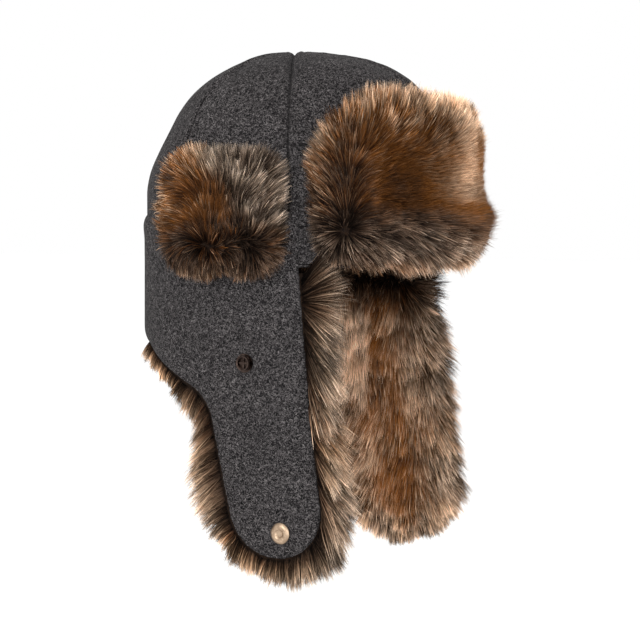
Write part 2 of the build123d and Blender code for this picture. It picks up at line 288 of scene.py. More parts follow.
def within(points, outline):
    """Whether each point lies inside the outline."""
    ahead = np.roll(outline, -1, axis=0)
    inside = np.zeros(len(points), bool)
    for (a0, b0), (a1, b1) in zip(outline, ahead):
        crosses = (b0 > points[:, 1]) != (b1 > points[:, 1])
        rise = b1 - b0 if b1 != b0 else 1e-12
        inside ^= crosses & (points[:, 0] < (a1 - a0) * (points[:, 1] - b0) / rise + a0)
    return inside


class Walk:
    """Spots along a closed outline by the distance walked along it, with the direction out of it."""

    def __init__(self, outline):
        turn = np.roll(outline, -1, axis=0) - outline
        area = (outline[:, 0] * np.roll(outline[:, 1], -1) - outline[:, 1] * np.roll(outline[:, 0], -1)).sum()
        self.points = np.concatenate((outline, outline[:1]))
        self.reach = np.concatenate(([0], np.cumsum(np.linalg.norm(turn, axis=1))))
        out = np.stack((turn[:, 1], -turn[:, 0]), axis=1) * (1 if area > 0 else -1)
        out = unit(unit(out) + unit(np.roll(out, 1, axis=0)))
        self.out = np.concatenate((out, out[:1]))
        self.length = self.reach[-1]

    def at(self, distance):
        d = distance % self.length
        spot = np.stack([np.interp(d, self.reach, self.points[:, k]) for k in (0, 1)], axis=1)
        out = unit(np.stack([np.interp(d, self.reach, self.out[:, k]) for k in (0, 1)], axis=1))
        return spot, out


# --- surfaces: each maps (across, up, depth) to a point ---
def eccentric(angle):
    """The angle on the round crown that becomes this angle once the crown is narrowed to an oval."""
    return np.arctan2(np.sin(angle), np.cos(angle) * WIDTH_RATIO)


def oval(r, angle, z):
    """Points round the crown's oval, by the radius to its front."""
    return np.stack(np.broadcast_arrays(r * np.cos(angle) * WIDTH_RATIO, r * np.sin(angle), z), axis=-1)


def crown_profile():
    """The crown's side view as (radius, height) by share of its length, from the brow to the top."""
    rise = CROWN_HEIGHT - SHOULDER
    t = np.linspace(0, 1, 200)[:, None]
    handles = np.array((
        (HALF_LENGTH, SHOULDER),
        (HALF_LENGTH, SHOULDER + DOME_FULLNESS * rise),
        (DOME_FULLNESS * HALF_LENGTH, CROWN_HEIGHT),
        (0, CROWN_HEIGHT),
    ))
    weights = ((1 - t) ** 3, 3 * t * (1 - t) ** 2, 3 * t ** 2 * (1 - t), t ** 3)
    dome = sum(w * h for w, h in zip(weights, handles))
    wall = np.stack((np.full(40, HALF_LENGTH), np.linspace(0, SHOULDER, 40, endpoint=False)), axis=1)
    line = np.concatenate((wall, dome))
    reach = np.concatenate(([0], np.cumsum(np.linalg.norm(np.diff(line, axis=0), axis=1))))
    return line, reach


PROFILE, PROFILE_REACH = crown_profile()


def on_profile(walk):
    """Radius and height at a distance walked up the crown's side from the brow."""
    return [np.interp(walk, PROFILE_REACH, PROFILE[:, k]) for k in (0, 1)]


def crown_surface(angle, walk, depth):
    """Point on the crown: angle round it, distance walked up its side from the brow, depth inwards."""
    step = 1 * MM
    r, z = on_profile(walk)
    dr, dz = np.subtract(on_profile(walk + step), on_profile(walk - step))
    lean = np.hypot(dr, dz)
    r = r - depth * dz / lean
    z = z + depth * dr / lean
    rearward = np.sin(angle) * np.minimum(r / (60 * MM), 1)  # 1 behind, -1 in front
    behind = 12 * MM * over(z, 44 * MM, 52 * MM) * smooth(rearward / 0.85)
    ahead = 8.5 * MM * over(z, 94 * MM, 28 * MM) * over(rearward, -0.35, -0.55)
    shift = (behind + ahead) * smooth(r / (34 * MM))  # the dome leans forwards, but not its very top
    return oval(r, angle, z) - shift[..., None] * (0, 1, 0)


def quarter_run():
    """Distance round the skirt's back from the middle, by the angle from there to the widest point."""
    angle = np.linspace(0, pi / 2, 400)
    points = np.stack((SKIRT_WIDTH * np.sin(angle), SKIRT_LENGTH * np.cos(angle)), axis=1)
    return angle, np.concatenate(([0], np.cumsum(np.linalg.norm(np.diff(points, axis=0), axis=1))))


BACK_ANGLE, BACK_RUN = quarter_run()
SIDE_RUN = BACK_RUN[-1]  # from the middle of the back to the widest point


def skirt_outer(across, up):
    """Point on the skirt's outer face; across is counted from the middle of the back, left is positive."""
    run = np.abs(across)
    angle = np.interp(run, BACK_RUN, BACK_ANGLE)
    heights, powers = zip(*SKIRT_LEVELS)
    n = np.interp(up, np.array(heights) * MM, powers)
    ahead = np.maximum(run - SIDE_RUN, 0)
    front = SKIRT_WIDTH * np.maximum(1 - (ahead / SKIRT_LENGTH) ** n, 1e-6) ** (1 / n)
    x = np.where(run < SIDE_RUN, SKIRT_WIDTH * np.sin(angle), front)
    y = np.where(run < SIDE_RUN, SKIRT_LENGTH * np.cos(angle), -ahead)
    return np.stack((x * np.sign(across), y, up), axis=-1)


def skirt_surface(across, up, depth):
    """Point under the skirt's outer face, inwards by depth."""
    step = 0.5 * MM
    outer = skirt_outer(across, up)
    along = skirt_outer(across + step, up) - skirt_outer(across - step, up)
    upward = skirt_outer(across, up + step) - skirt_outer(across, up - step)
    inward = unit(np.cross(along, upward))
    points_out = (inward * outer * (1, 1, 0)).sum(-1, keepdims=True) > 0
    return outer + np.where(points_out, -inward, inward) * depth[..., None]


def across_of(y):
    """How far round from the middle of the back a point of the skirt is, from its y."""
    y = np.asarray(y, float)
    behind = np.interp(np.arccos(np.clip(y / SKIRT_LENGTH, -1, 1)), BACK_ANGLE, BACK_RUN)
    return np.where(y > 0, behind, SIDE_RUN - y)


def band_surface(middle, stands_off, side=1):
    """A band round the crown: across from its middle, depth outwards from stands_off(height)."""
    def surface(across, up, depth):
        angle = eccentric(middle) + side * across / HALF_LENGTH
        return oval(HALF_LENGTH + stands_off(up) + depth, angle, up)
    return surface


def upright(distance):
    return lambda up: np.full_like(up, distance)


def leaning(up):
    """The side cuffs stand on the neck piece and lean in to the crown above it."""
    return np.interp(up, np.array((33, 66, 90)) * MM, np.array((5.6, 0.8, 0.8)) * MM)


# --- materials ---
class Nodes:
    """A material being wired up: add makes a node, and feed links an output or sets a value."""

    def __init__(self, name):
        self.material = bpy.data.materials.new(name)
        self.material.use_nodes = True
        self.tree = self.material.node_tree
        self.shader = self.tree.nodes["Principled BSDF"]
        self.place = self.add("ShaderNodeTexCoord").outputs["Object"]

    def add(self, kind, values=(), **settings):
        node = self.tree.nodes.new(kind)
        for key, value in settings.items():
            setattr(node, key, value)
        for key, value in dict(values).items():
            self.feed(value, node.inputs[key])
        return node

    def feed(self, value, socket):
        """Value is another node's output, a number, a vector or a colour without alpha."""
        if isinstance(value, bpy.types.NodeSocket):
            self.tree.links.new(value, socket)
        else:
            socket.default_value = (*value, 1) if socket.type == "RGBA" else value

    def vector_maths(self, operation, values):
        return self.add("ShaderNodeVectorMath", values, operation=operation).outputs[0]

    def warped(self, size, amount):
        """Coordinates pushed about by this amount in metres, over this size."""
        drift = self.add("ShaderNodeTexNoise", {"Vector": self.place, "Scale": 1 / size, "Detail": 2.0})
        centred = self.vector_maths("SUBTRACT", {0: drift.outputs["Color"], 1: (0.5, 0.5, 0.5)})
        scaled = self.vector_maths("SCALE", {0: centred, "Scale": amount})
        return self.vector_maths("ADD", {0: self.place, 1: scaled})

    def stretched(self, turn, size, place=None):
        """Coordinates turned by these degrees, then counted in grains of this size in metres."""
        values = {"Vector": place or self.place, "Rotation": [radians(t) for t in turn], "Scale": size}
        return self.add("ShaderNodeMapping", values, vector_type="TEXTURE").outputs["Vector"]

    def noise(self, vector, scale, detail, rough):
        values = {"Vector": vector, "Scale": scale, "Detail": detail, "Roughness": rough}
        return self.add("ShaderNodeTexNoise", values).outputs["Fac"]

    def ramp(self, factor, stops):
        """Colours or greys by position, blended in between."""
        node = self.add("ShaderNodeValToRGB", {"Fac": factor})
        elements = node.color_ramp.elements
        while len(elements) < len(stops):
            elements.new(0.5)
        for element, (position, colour) in zip(elements, stops):
            element.position = position
            element.color = (*colour, 1) if hasattr(colour, "__len__") else (colour, colour, colour, 1)
        return node.outputs["Color"]

    def mix(self, factor, a, b, blend="MIX"):
        values = {0: factor, 6: a, 7: b}  # the inputs of a colour mix
        return self.add("ShaderNodeMix", values, data_type="RGBA", blend_type=blend).outputs[2]

    def maths(self, operation, a, b):
        return self.add("ShaderNodeMath", {0: a, 1: b}, operation=operation).outputs[0]

    def attribute(self, name):
        return self.add("ShaderNodeAttribute", attribute_name=name).outputs["Fac"]

    def bump(self, height, distance, strength):
        node = self.add("ShaderNodeBump", {"Height": height, "Distance": distance, "Strength": strength})
        self.feed(node.outputs["Normal"], self.shader.inputs["Normal"])

    def finish(self, colour, roughness, **values):
        """Feeds the shader; an underscore in a name stands for a space."""
        for key, value in {"Base_Color": colour, "Roughness": roughness, **values}.items():
            self.feed(value, self.shader.inputs[key.replace("_", " ")])
        return self.material


def times(colour, factor):
    return [c * factor for c in colour]


def melton_wool(name, dark, light):
    """Brushed charcoal melton: short light and dark fibres lying every way over a felted ground."""
    n = Nodes(name)
    ground = n.noise(n.place, 520, 3, 0.65)
    cloud = n.noise(n.place, 30, 2, 0.5)
    colour = n.ramp(ground, ((0.36, times(dark, 0.5)), (0.68, times(dark, 2.2))))
    height = ground
    curled = n.warped(2.6 * MM, 6 * MM)
    fibre = (0.72 * MM, 0.72 * MM, 3.0 * MM)
    for k, turn in enumerate(((20, 40, 0), (-50, 75, 20), (70, -25, 60), (115, 50, 10))):
        fibres = n.noise(n.stretched(turn, fibre, curled), 1.0, 2.0, 0.6)
        colour = n.mix(n.ramp(fibres, ((0.585, 0.0), (0.65, 1.0))), colour, times(light, 0.6 + 0.2 * k))
        colour = n.mix(n.ramp(fibres, ((0.35, 0.9), (0.43, 0.0))), colour, times(dark, 0.4))
        height = n.maths("MAXIMUM", height, fibres)
    colour = n.mix(n.ramp(cloud, ((0.35, 0.0), (0.8, 0.3))), colour, times(dark, 1.7))
    # darker along the crown's seams: partly the seams' own dark line, partly painted shade in their sunk
    # grooves
    colour = n.mix(n.ramp(n.attribute("seam"), ((0.1, 0.0), (0.9, 0.5))), colour, times(dark, 0.4))
    n.bump(height, 0.4 * MM, 0.8)
    return n.finish(colour, 0.95, Sheen_Weight=0.02, Sheen_Roughness=0.5, Specular_IOR_Level=0.04)


# Colours of a hair by the share of its length, from root to tip.
DARK_HAIR = ((0.0, (0.004, 0.002, 0.0015)), (0.45, (0.012, 0.007, 0.0045)),
             (0.75, (0.042, 0.025, 0.016)), (1.0, (0.16, 0.108, 0.078)))
CARAMEL_HAIR = ((0.0, (0.006, 0.002, 0.001)), (0.35, (0.034, 0.0105, 0.0022)),
                (0.7, (0.094, 0.031, 0.0058)), (1.0, (0.190, 0.074, 0.019)))
ASHEN_HAIR = ((0.0, (0.004, 0.0025, 0.002)), (0.35, (0.022, 0.014, 0.009)),
              (0.7, (0.080, 0.053, 0.037)), (1.0, (0.24, 0.175, 0.13)))
BEIGE_HAIR = ((0.0, (0.010, 0.006, 0.004)), (0.35, (0.080, 0.044, 0.024)),
              (0.7, (0.30, 0.187, 0.110)), (1.0, (0.62, 0.46, 0.33)))
SILVER_HAIR = ((0.0, (0.009, 0.006, 0.0045)), (0.35, (0.070, 0.045, 0.030)),
               (0.7, (0.26, 0.186, 0.130)), (1.0, (0.56, 0.45, 0.36)))


def hair():
    """Guard hairs: dark roots, caramel or brown-grey bodies and paler tips."""
    n = Nodes("fur_guard_hair")
    along, tone, patch, grey = (n.attribute(name) for name in ("along", "tone", "patch", "grey"))
    caramel = n.mix(grey, n.ramp(along, CARAMEL_HAIR), n.ramp(along, ASHEN_HAIR))
    beige = n.mix(grey, n.ramp(along, BEIGE_HAIR), n.ramp(along, SILVER_HAIR))
    colour = n.mix(n.ramp(patch, ((0.2, 0.0), (0.5, 1.0))), n.ramp(along, DARK_HAIR), caramel)
    colour = n.mix(n.ramp(patch, ((0.6, 0.0), (1.0, 1.0))), colour, beige)
    bright = n.ramp(tone, ((0.0, 0.12), (0.5, 0.9), (0.75, 1.75), (1.0, 3.3)))
    colour = n.mix(1.0, colour, bright, "MULTIPLY")
    return n.finish(colour, 0.65, Specular_IOR_Level=0.03)


def pelt():
    """Dense underfur, seen only between the locks."""
    n = Nodes("fur_underfur")
    fluff = n.noise(n.place, 500, 3, 0.6)
    colour = n.ramp(fluff, ((0.3, (0.004, 0.0025, 0.002)), (0.7, (0.022, 0.012, 0.007))))
    n.bump(fluff, 1 * MM, 0.8)
    return n.finish(colour, 0.9, Specular_IOR_Level=0.1)


def satin(name, dark, light):
    """Close satin weave with a soft shine."""
    n = Nodes(name)
    weave = n.noise(n.stretched((0, 45, 0), (0.4 * MM, 0.4 * MM, 2 * MM)), 1.0, 1.0, 0.5)
    n.bump(weave, 0.05 * MM, 0.5)
    return n.finish(n.ramp(weave, ((0.35, dark), (0.7, light))), 0.42, Specular_IOR_Level=0.5)


def woven(name, dark, light, pitch):
    """Plain weave of two shades with this pitch."""
    n = Nodes(name)
    threads = 1.0
    for way in ("Z", "DIAGONAL"):
        values = {"Vector": n.place, "Scale": 1 / pitch / 20, "Distortion": 0.6, "Detail": 1.0}
        wave = n.add("ShaderNodeTexWave", values, bands_direction=way)
        threads = n.maths("MULTIPLY", threads, wave.outputs["Fac"])
    lint = n.noise(n.place, 900, 2, 0.6)
    n.bump(n.maths("ADD", threads, lint), 0.15 * MM, 0.6)
    shade = n.maths("ADD", n.maths("MULTIPLY", threads, 0.7), n.maths("MULTIPLY", lint, 0.3))
    return n.finish(n.ramp(shade, ((0.1, dark), (0.7, light))), 0.85, Specular_IOR_Level=0.2)


def brass(name, dark, light, rough):
    """Antique brass: warm metal, darker where it is worn dull."""
    n = Nodes(name)
    tarnish = n.noise(n.place, 300, 4, 0.65)
    scratches = n.noise(n.stretched((20, 0, 0), (0.15 * MM, 1.5 * MM, 0.15 * MM)), 1.0, 2.0, 0.5)
    n.bump(n.maths("ADD", tarnish, n.maths("MULTIPLY", scratches, 0.5)), 0.05 * MM, 0.35)
    roughness = n.ramp(tarnish, ((0.3, rough - 0.08), (0.7, rough + 0.15)))
    return n.finish(n.ramp(tarnish, ((0.3, dark), (0.65, light))), roughness, Metallic=1.0)


def dress(obj, material, body, bend=None):
    """Gives a piece its material, then either hangs it from the body it rides on or, when given bend ends,
    bakes its placement into its mesh.
    """
    obj.data.materials.clear()
    obj.data.materials.append(material)
    if bend:
        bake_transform(obj)
    else:
        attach(obj, body)
    return obj


WOOL = melton_wool("charcoal_melton", (0.0085, 0.0077, 0.0080), (0.122, 0.112, 0.112))
HAIR = hair()
PELT = pelt()
QUILT = satin("black_quilted_satin", (0.006, 0.006, 0.007), (0.016, 0.016, 0.018))
TAPE = woven("black_ribbed_tape", (0.008, 0.008, 0.009), (0.03, 0.03, 0.033), 0.6 * MM)
WADDING = woven("white_wadding", (0.6, 0.6, 0.58), (0.8, 0.8, 0.78), 2 * MM)
STIFFENER = woven("stiff_interlining", (0.35, 0.33, 0.29), (0.5, 0.48, 0.43), 1 * MM)
CAP_BRASS = brass("cap_antique_brass", (0.22, 0.15, 0.10), (0.50, 0.37, 0.26), 0.36)
SOCKET_BRASS = brass("socket_antique_brass", (0.10, 0.075, 0.05), (0.42, 0.33, 0.23), 0.3)
STUD_BRASS = brass("stud_dark_brass", (0.010, 0.006, 0.005), (0.085, 0.060, 0.050), 0.28)


# --- crown ---
SIDE_SEAM = pi / 2 - float(eccentric(SIDE_SEAM_ANGLE))
GORE_SPANS = {
    "front_left": (-pi / 2, -SIDE_SEAM),
    "side_left": (-SIDE_SEAM, SIDE_SEAM),
    "back_left": (SIDE_SEAM, pi / 2),
    "back_right": (pi / 2, pi - SIDE_SEAM),
    "side_right": (pi - SIDE_SEAM, pi + SIDE_SEAM),
    "front_right": (pi + SIDE_SEAM, 1.5 * pi),
}
COLUMNS, ALL_COLUMNS, ROWS = 61, 361, 130  # of a gore's mesh, of a whole round's, and up its side
WOOL_BOTTOM = 22 * MM  # of the side and back gores, where the cuffs and the neck piece cover them
SEAM_WIDTH = 1.1 * MM


def gore(name, span, bottom, inset, thickness, relief):
    """One gore of the crown as a closed shell; relief gives how far its outer face stands proud."""
    start, end = span
    share = np.linspace(0, 1, COLUMNS)
    share = share - 0.06 * np.sin(2 * pi * share)  # columns crowd towards the seams
    if end - start > pi:
        share = np.linspace(0, 1, ALL_COLUMNS)
    walk = np.linspace(bottom, PROFILE_REACH[-1], ROWS)
    angle, up = np.meshgrid(start + (end - start) * share, walk)
    flat = crown_surface(angle, up, np.full_like(up, inset))
    radius = np.hypot(flat[..., 0] / WIDTH_RATIO, flat[..., 1])
    from_seam = np.minimum(angle - start, end - angle) * radius
    proud = relief(angle, up, from_seam, flat)
    outer = crown_surface(angle, up, inset - proud)
    inner = crown_surface(angle, up, inset - proud * 0.6 + thickness)
    # marks the seams, where the wool is darkened: their own dark line and painted shade in the groove
    seam = bell(from_seam.ravel(), 0, SEAM_WIDTH)
    return shell_object(name, outer, inner, [("seam", np.concatenate((seam, seam)))])


def wool_relief(angle, up, from_seam, flat):
    """Soft swell between seams, a sunk seam with its pressed allowances, and the tuck at the top."""
    from_top = PROFILE_REACH[-1] - up
    live = smooth(from_top / (14 * MM))
    wander = 0.8 * noise(flat, 38 * MM, 3) + 0.3 * noise(flat, 13 * MM, 4)
    swell = 1.3 * smooth(from_seam / (26 * MM))
    sunk = 1.5 * bell(from_seam, 0, 1.2 * MM)
    ridge = bell(from_seam, 4.6 * MM, 2.2 * MM)
    tuck = 1.7 * bell(from_top, 0, 4.5 * MM)
    bumpy = 0.25 * noise(flat, 4 * MM, 5) * bell(from_seam, 0, 7 * MM)
    return ((swell + ridge + wander + bumpy) * live - sunk - tuck) * MM


def quilt_relief(angle, up, from_seam, flat):
    """Quilted lining seen from inside: puffs between two sets of slanting lines of stitching."""
    a = angle * HALF_LENGTH
    pitch = 30 * MM
    lines = np.minimum(np.abs(np.sin(pi * (a + up) / pitch)), np.abs(np.sin(pi * (a - up) / pitch)))
    return -1.3 * MM * smooth(lines * 1.6) * smooth(from_seam / (6 * MM))


def wadding_relief(angle, up, from_seam, flat):
    """Uneven loft of the wadding."""
    return 0.15 * MM * noise(flat, 15 * MM, 14)


def make_crown():
    for place, span in GORE_SPANS.items():
        bottom = 0 if place.startswith("front") else WOOL_BOTTOM
        wool = gore(f"crown_wool_{place}", span, bottom, 0.0, 2.1 * MM, wool_relief)
        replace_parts(dress(wool, WOOL, "root"), f"crown_gore_{place}")
        lining = gore(f"lining_{place}", span, 0, LINING_INSET, 0.9 * MM, quilt_relief)
        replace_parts(dress(lining, QUILT, "root"), f"lining_gore_{place}")
    whole = gore("crown_wadding_layer", (-pi / 2, 1.5 * pi), 6 * MM, 2.6 * MM, 2.4 * MM, wadding_relief)
    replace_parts(dress(whole, WADDING, "root"), "crown_wadding")
    tape = band("sweatband_tape", (0, 2 * pi), inset=SWEATBAND_INSET + 0.5 * MM, height=14 * MM,
                half_thick=0.5 * MM, half_tall=14 * MM)
    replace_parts(dress(tape, TAPE, "root"), "sweatband")
    hem = band("brow_hem", (pi + SIDE_SEAM, 2 * pi - SIDE_SEAM), inset=3.6 * MM, height=-1.2 * MM,
               half_thick=3.5 * MM, half_tall=1.1 * MM)
    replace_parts(dress(hem, WOOL, "root"), "brow_binding")


def band(name, span, inset, height, half_thick, half_tall):
    """A strip of tape round the head opening, with rounded edges and a slight waver."""
    angle = np.linspace(*span, ALL_COLUMNS)[:, None]
    around = np.linspace(0, 2 * pi, 28, endpoint=False)
    c, s = np.cos(around), np.sin(around)
    out = half_thick * np.sign(c) * np.abs(c) ** 0.6
    up = half_tall * np.sign(s) * np.abs(s) ** 0.6
    waver = 0.15 * MM * np.sin(23 * angle)
    points = oval(HALF_LENGTH - inset + out + waver, angle, height + up).reshape(-1, 3)
    faces = [grid_faces(len(angle), len(around), wrap=True)]
    return mend(mesh_object(name, points, faces), weld=True, close=True)


# --- soft panels ---
def skirt_outline(top, grow):
    """Outline of the whole skirt laid flat, its edge moved out by grow past the wool's edge."""
    front = -50 * MM - grow
    tip, neck = -187 * MM - grow, -55 * MM - grow  # heights of the ear flaps' tips and of the back's edge
    corners = [(front, top), (front, 0), (-72.5 * MM - grow, tip), (-9 * MM + grow, tip),
               (14 * MM + grow, -87 * MM - grow), (84 * MM, neck), (102 * MM, neck)]
    radii = [0, 8 * MM, 30 * MM + grow, 34 * MM + grow, 30 * MM - grow, 20 * MM, 0]
    if top <= 0:
        del corners[1], radii[1]
    half = rounded(corners + [(102 * MM, top)], radii + [0])[:-1]
    left = np.stack((across_of(half[:, 0]), half[:, 1]), axis=1)
    return np.concatenate((left, left[::-1] * (-1, 1)))


def skirt_piece(points):
    """0 for the neck piece, 1 for the left ear flap and 2 for the right, by where points lie."""
    below = (points - FOLD_POINT) @ FOLD_UP < BEND_ABOVE
    return np.where(below, np.where(points[:, 0] > 0, 1, 2), 0)


WOOL_THICKNESS = 2.4 * MM
PIECES = ("neck", "ear_flap_left", "ear_flap_right")
FOLD_ENDS = (FOLD_POINT + FOLD_UP * BEND_ABOVE, FOLD_POINT - FOLD_UP * BEND_BELOW)


def dress_skirt(obj, material, piece):
    """The neck piece rides on the root body with the crown; an ear flap has its placement baked into its
    mesh.
    """
    if piece:
        return dress(obj, material, PIECES[piece], FOLD_ENDS)
    return dress(obj, material, "root")


def split_skirt(name, points, faces, material, nodes):
    """Parts one skirt layer into the neck piece and two ear flaps along shared edges, each closed."""
    made = []
    for piece, label in enumerate(PIECES):
        chosen = [f[skirt_piece(points[f].mean(axis=1)) == piece] for f in faces]
        chosen = [f for f in chosen if len(f)]
        used, corners = np.unique(np.concatenate([f.ravel() for f in chosen]), return_inverse=True)
        renumbered, first = [], 0
        for f in chosen:
            renumbered.append(corners[first:first + f.size].reshape(f.shape))
            first += f.size
        obj = mend(mesh_object(f"{label}_{name}", points[used], renumbered), close=True, crisp=True)
        dress_skirt(obj, material, piece)
        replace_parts(obj, nodes[piece])
        made.append(obj)
    return made


def make_skirt_wool():
    """Neck piece and ear flaps: one cloth with soft rolled edges, slightly drawn in at the snaps."""
    outline = skirt_outline(SKIRT_TOP, 0)
    flat, faces = plate(outline, WOOL_THICKNESS, 1.15 * MM)
    distance, _ = nearest_edge(flat[:, :2], outline)
    outward = 1 - flat[:, 2] / WOOL_THICKNESS
    rough = skirt_outer(flat[:, 0], flat[:, 1])
    below_top = SKIRT_TOP - flat[:, 1]
    near_top = over(below_top, 12 * MM, -8 * MM)
    rolled = 2.2 * MM * (1 - np.clip(distance / (9 * MM), 0, 1)) ** 2
    rolled += near_top * 1.6 * MM * outward * (1 - np.clip(distance / (5 * MM), 0, 1)) ** 2
    hem = bell(below_top, 8 * MM, 7 * MM) * (1.3 + 0.9 * noise(rough, 16 * MM, 8)) * MM
    calm = np.ones(len(flat))
    for spot in (TIP_SNAP, MID_SNAP):
        away = np.hypot(rough[:, 1] - spot[0], rough[:, 2] - spot[1])
        calm *= over(away, 7 * MM, 10 * MM)
    wander = (0.75 * noise(rough, 34 * MM, 6) + 0.25 * noise(rough, 11 * MM, 7)) * MM * calm
    dip = 0.35 * MM * (1 - calm)
    depth = flat[:, 2] + rolled * (1 - near_top * (1 - outward)) - hem + wander + dip
    points = skirt_surface(flat[:, 0], flat[:, 1], depth)
    nodes = ("neck_wool", "ear_flap_wool_left", "ear_flap_wool_right")
    made = split_skirt("cloth", points, faces, WOOL, nodes)


def panel_outline(half_width, bottom, top, top_radius, bottom_radius):
    """A rectangle with rounded corners; half_width is how far it goes either way."""
    corners = [(-half_width[0], bottom), (half_width[1], bottom), (half_width[1], top), (-half_width[0], top)]
    return rounded(corners, [bottom_radius, bottom_radius, top_radius, top_radius])


def panel(name, surface, outline, thickness, voxel, shape, material, body, nodes, ends=None):
    """A soft panel on a surface; shape changes its depth by the distance from its edge."""
    flat, faces = plate(outline, thickness, voxel)
    distance, _ = nearest_edge(flat[:, :2], outline)
    rough = surface(flat[:, 0], flat[:, 1], flat[:, 2])
    points = surface(flat[:, 0], flat[:, 1], shape(flat, distance, rough))
    obj = mesh_object(name, points, faces)
    dress(obj, material, body, ends)
    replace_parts(obj, *nodes)
    return obj


def cloth_shape(depth):
    """Flat cloth with softly wandering faces and thinner edges."""
    def shape(flat, distance, rough):
        edge = smooth(distance / (3 * MM))
        middle = depth / 2
        wander = 0.3 * MM * noise(rough, 25 * MM, 9) * edge
        return middle + (flat[:, 2] - middle) * (0.55 + 0.45 * edge) + wander
    return shape


def quarter_round(distance, rim):
    """0 at an edge, rising like a quarter of a circle to 1 at the rim's width."""
    return np.sqrt(np.clip(1 - (1 - np.clip(distance / rim, 0, 1)) ** 2, 0, 1))


def lumps(points, seed):
    """How thick underfur is for its place, where the locks part."""
    return 1 + 0.14 * noise(points, 7 * MM, seed) + 0.1 * noise(points, 17 * MM, seed + 1)


def pillow_shape(full, rim):
    """Underfur that swells from its rim to full depth."""
    def shape(flat, distance, rough):
        return full * np.clip(flat[:, 2] / full, 0, 1) * quarter_round(distance, rim) * lumps(rough, 10)
    return shape


# --- fur ---
# A coat says how fur grows on a panel. It has the surface; the pelt's full depth, the width of its
# round rim, and the voxel it is meshed with; how deep the roots are sunk in it; the radius of the rim
# where hairs root, its middle's depth, and how far round the back it goes, in half turns; how many hairs
# there are on the face and on the rim, and their width; how they droop and stray; how patchy the
# colour is from lock to lock; and the locks, as a size and the strength of the pull into them.
SEGMENTS = 4
PIECE_HAIRS = 27500  # hairs per piece, seven triangles each
rng = np.random.default_rng(7)


def frame_at(surface, a, b, depth):
    """Point and directions (across, up, out of the pelt) on a surface."""
    step = 0.4 * MM
    p = surface(a, b, depth)
    across = unit(surface(a + step, b, depth) - p)
    up = unit(surface(a, b + step, depth) - p)
    out = unit(surface(a, b, depth + step) - p)
    return p, across, up, out


def trace(coat, spot, out, flow, lift, length, stray):
    """Centre lines of hairs: they leave the pelt along out and turn into the lie of the coat."""
    p, across, up, away = frame_at(coat["surface"], spot[:, 0], spot[:, 1], spot[:, 2])
    to_world = lambda v: v[:, :1] * across + v[:, 1:2] * up + v[:, 2:3] * away
    stand = to_world(out)
    lie = unit(to_world(flow) + 0.1 * stand)
    waver = 0.26 * noise3(p, 5.5 * MM, 20) + 0.34 * noise3(p, 19 * MM, 30)
    first = unit(stand * lift[:, None] + lie * (1 - lift[:, None]) + stray + waver * 0.5)
    raised = 2.2 * np.clip(lift - 0.5, 0, 1)[:, None]  # short brushed pile stands up all along its length
    last = unit(lie + stand * raised + waver + 0.5 * stray - np.array((0, 0, coat["droop"])))
    line = [p]
    for k in range(SEGMENTS):
        t = ((k + 0.5) / SEGMENTS) ** 0.75
        line.append(line[-1] + unit(first * (1 - t) + last * t) * (length / SEGMENTS)[:, None])
    return np.stack(line, axis=1), stand


def lock_of(u, v, size, seed):
    """The lock each hair belongs to: the middle of the nearest jittered cell, and the cell's key."""
    best = np.full(len(u), np.inf)
    middle, key = np.empty((len(u), 2)), np.empty((len(u), 3), np.int64)
    cell = np.floor(np.stack((u, v), axis=1) / size).astype(np.int64)
    for step in product((-1, 0, 1), repeat=2):
        near = np.concatenate((cell + step, np.full((len(u), 1), seed)), axis=1)
        jitter = np.stack((lattice(near, 1), lattice(near, 2)), axis=1)
        spot = (near[:, :2] + 0.5 + 0.42 * jitter) * size
        away = (spot[:, 0] - u) ** 2 + (spot[:, 1] - v) ** 2
        closer = away < best
        best[closer], middle[closer], key[closer] = away[closer], spot[closer], near[closer]
    return middle, key


def hair_arrays(coat, place, u, v):
    """Hairs rooted at (u, v), gathered into locks: lines, outward directions, (patch, tone, grey)."""
    spot, out, flow, lift, length, patch, parted, shade, grey = place(u, v)
    n = len(u)
    stray = rng.normal(0, coat["stray"], (n, 3))
    length = length * rng.uniform(0.72, 1.08, n)
    loose = rng.uniform(0, 1, n) < 0.05 + 0.11 * parted  # single long hairs that keep out of the locks
    length = np.where(loose, length * 1.12, length)
    line, stand = trace(coat, spot, out, flow, lift, length, stray)
    for size, strength in coat["locks"]:
        middle, key = lock_of(u, v, size, int(size / MM * 10))
        fate = lattice(key, 5)
        g_spot, g_out, g_flow, g_lift, g_length = place(middle[:, 0], middle[:, 1])[:5]
        g_length = g_length * (0.93 + 0.34 * fate * parted)
        g_stray = np.stack([lattice(key, 6 + k) for k in range(3)], axis=1) * (0.08 + 0.22 * parted)[:, None]
        guide, _ = trace(coat, g_spot, g_out, g_flow, g_lift, g_length, g_stray)
        pull = strength * parted * (0.75 + 0.25 * lattice(key, 9)) * np.where(loose, 0.25, 1.0)
        for k in range(1, SEGMENTS + 1):
            share = (pull * (k / SEGMENTS) ** 1.1)[:, None]
            line[:, k] = line[:, k] * (1 - share) + guide[:, k] * share
        patch = patch + coat["patchy"] * fate * 0.5 * (0.3 + 0.7 * parted)
        shade = shade + (0.04 + parted * (0.3 - 0.03 * size / MM)) * lattice(key, 12)
    # tone is random brightness per hair plus the fields' shade, which on the skirt's fur includes painted
    # light and painted shade
    tone = 0.5 + (0.12 + 0.12 * parted) * rng.normal(0, 1, n) + shade
    patch = np.where(loose, patch + 0.5 * parted, patch)
    return line, stand, np.clip(np.stack((patch, tone, grey), axis=1), 0, 1)


